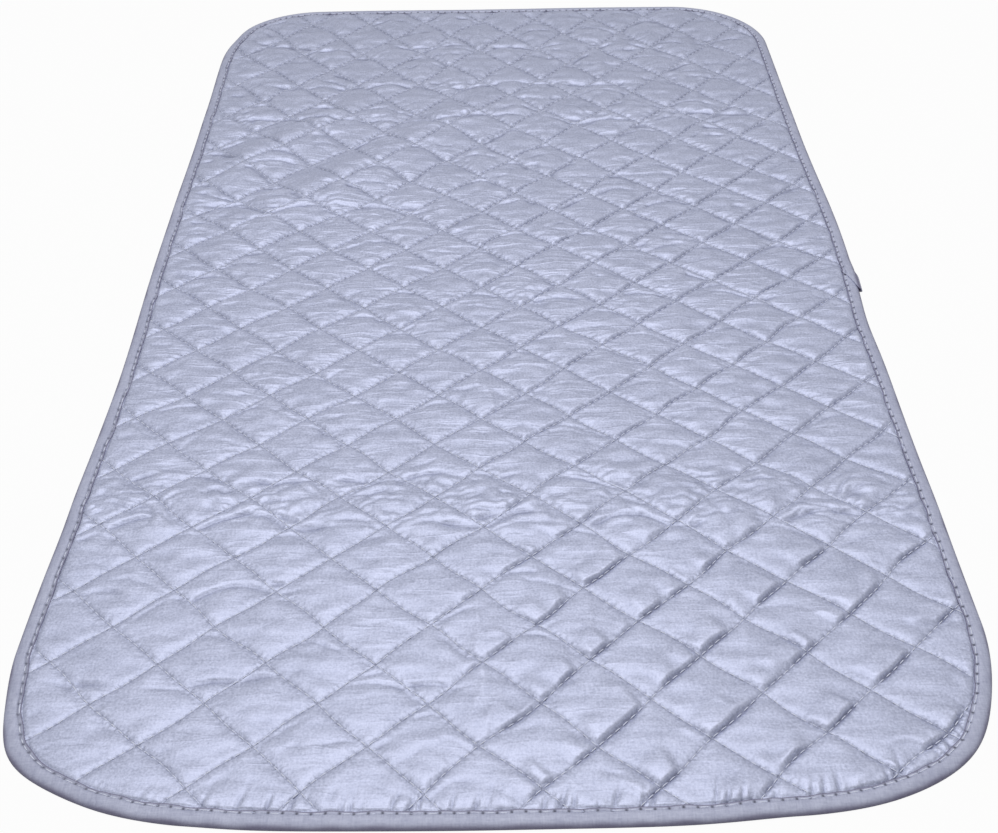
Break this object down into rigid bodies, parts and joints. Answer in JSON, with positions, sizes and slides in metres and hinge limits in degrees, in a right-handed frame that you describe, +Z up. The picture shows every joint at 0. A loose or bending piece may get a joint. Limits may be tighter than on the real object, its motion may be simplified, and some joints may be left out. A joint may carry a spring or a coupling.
{
  "type": "quilted ironing pad",
  "caption": "Flat rectangular ironing pad with rounded corners: diamond-quilted silver-coated face, polyester wadding, fabric backing and a folded tape binding with a lapped join.",
  "frame": {"origin": "centre of the pad's footprint on the surface that it lies on", "axes": "+Z up out of the silver face, +Y along the pad's length away from the near edge, +X across the pad towards the side where the binding is joined"},
  "size_m": [0.4808, 0.85, 0.006],
  "materials": {
    "silver_face_fabric": "metallised satin, fine plain weave, slight sheen",
    "polyester_wadding": "matte non-woven fibre",
    "backing_fabric": "matte plain-weave polyester-cotton",
    "binding_tape": "matte woven tape",
    "sewing_thread": "polyester sewing thread, slight sheen"
  },
  "bodies": {
    "root": {"face_fabric": "silver_face_fabric", "batting": "polyester_wadding", "backing_fabric": "backing_fabric", "binding": "binding_tape"}
  },
  "joints": []
}
